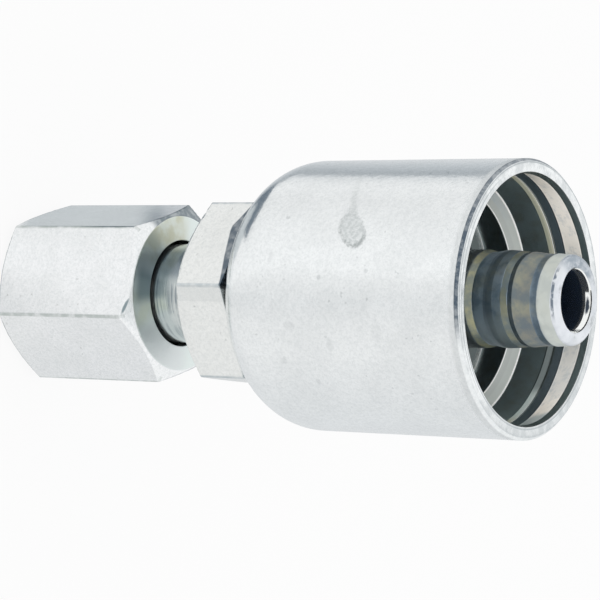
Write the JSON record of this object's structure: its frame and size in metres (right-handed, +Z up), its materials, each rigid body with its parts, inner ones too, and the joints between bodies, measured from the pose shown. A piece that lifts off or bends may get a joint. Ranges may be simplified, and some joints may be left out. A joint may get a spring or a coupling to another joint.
{
  "type": "crimp hose fitting",
  "caption": "Crimp hose end: a toothed crimp shell on a bored, grooved stem with a spanner hexagon and a free swivel nut.",
  "frame": {"origin": "centre of the nut's front face, which the fitting stands on", "axes": "+Z up along the fitting's axis towards the hose end, with corners of the stem's hexagon on +Y and -Y"},
  "size_m": [0.0284, 0.0284, 0.068],
  "materials": {
    "shell_plating": "dull bright zinc plate",
    "stem_plating": "bright zinc plate over turning marks",
    "nut_plating": "bright zinc plate"
  },
  "bodies": {
    "hose_end": {"hose_stem": "stem_plating", "crimp_shell": "shell_plating"},
    "nut": {"swivel_nut": "nut_plating"}
  },
  "joints": [
    {"name": "nut_swivel", "type": "hinge", "parent": "hose_end", "child": "nut", "pos_m": [0, 0, 0.01376], "axis": [0, 0, 1], "continuous": true}
  ]
}
